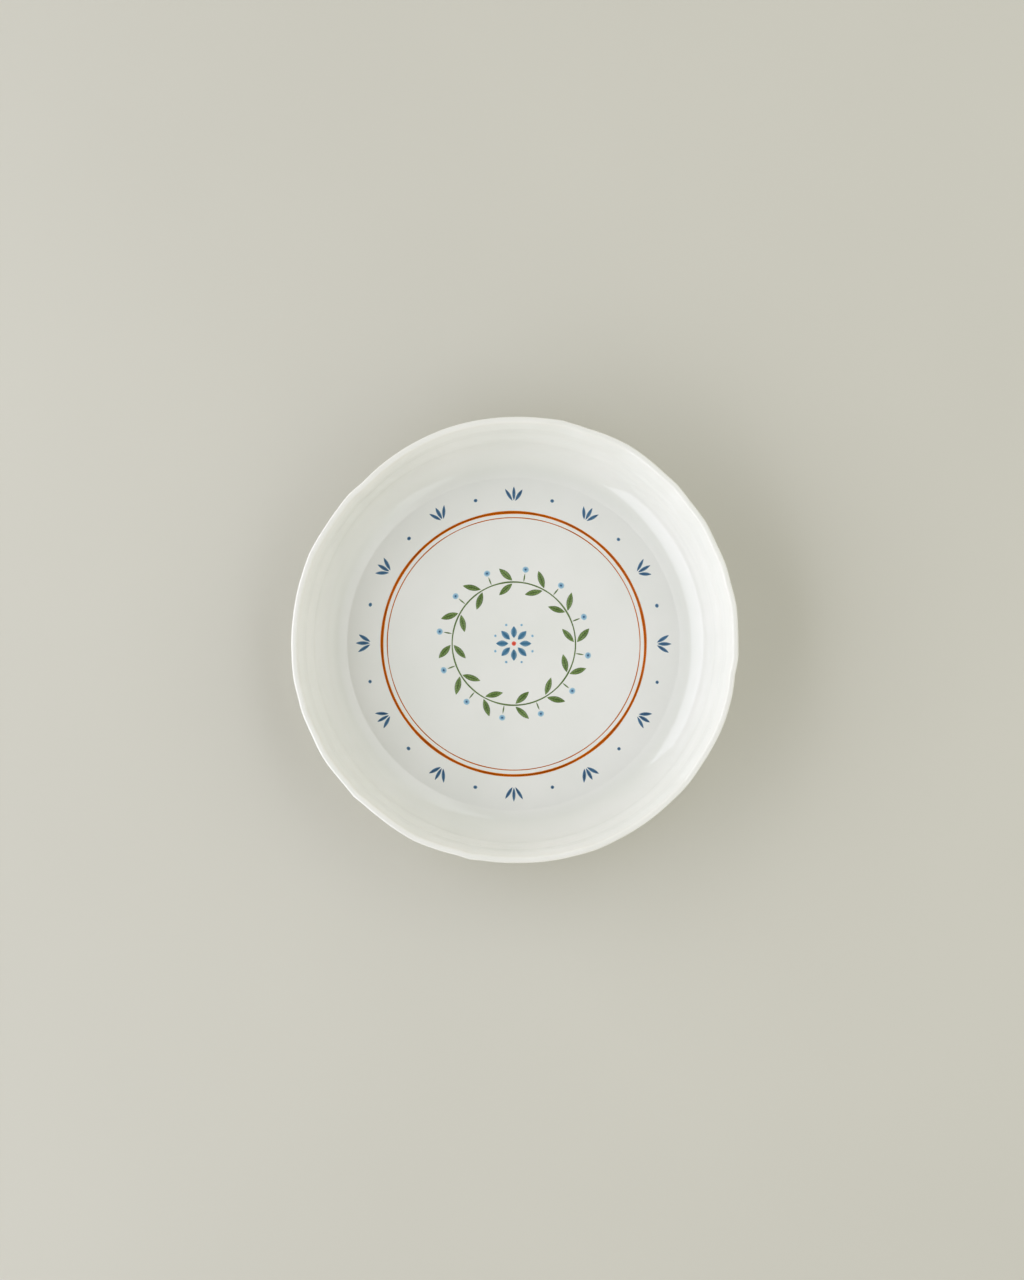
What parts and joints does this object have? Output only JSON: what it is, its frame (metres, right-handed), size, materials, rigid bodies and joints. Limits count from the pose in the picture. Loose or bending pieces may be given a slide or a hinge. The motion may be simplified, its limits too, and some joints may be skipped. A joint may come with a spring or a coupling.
{
  "type": "deep plate",
  "caption": "Round deep plate in glazed stoneware with a wide curve up into its wall, an uneven hand-finished rim, a bare foot ring and fired enamel decoration on the flat of the well.",
  "frame": {"origin": "middle of the foot ring, on the plane that it stands on", "axes": "+Z up along the plate's axis; the eye looking down along -Z with +Y up sees the plate as the picture shows it"},
  "size_m": [0.2099, 0.2098, 0.0366],
  "materials": {
    "bare_clay": "matte",
    "glaze": "gloss",
    "rust_enamel": "gloss",
    "navy_enamel": "gloss",
    "steel_blue_enamel": "gloss",
    "light_blue_enamel": "gloss",
    "green_enamel": "gloss",
    "dark_green_enamel": "gloss",
    "red_enamel": "gloss"
  },
  "bodies": {
    "root": {"ceramic_body": "bare_clay", "glaze_coat": "glaze", "underside_glaze": "glaze", "rust_band": "rust_enamel", "rust_hairline": "rust_enamel", "border_strokes": "navy_enamel", "border_dots": "navy_enamel", "wreath_stem": "green_enamel", "wreath_leaves": "green_enamel", "leaf_ribs": "dark_green_enamel", "berries": "light_blue_enamel", "berry_eyes": "navy_enamel", "rosette_petals": "steel_blue_enamel", "rosette_dots": "light_blue_enamel", "rosette_eye": "red_enamel"}
  },
  "joints": []
}
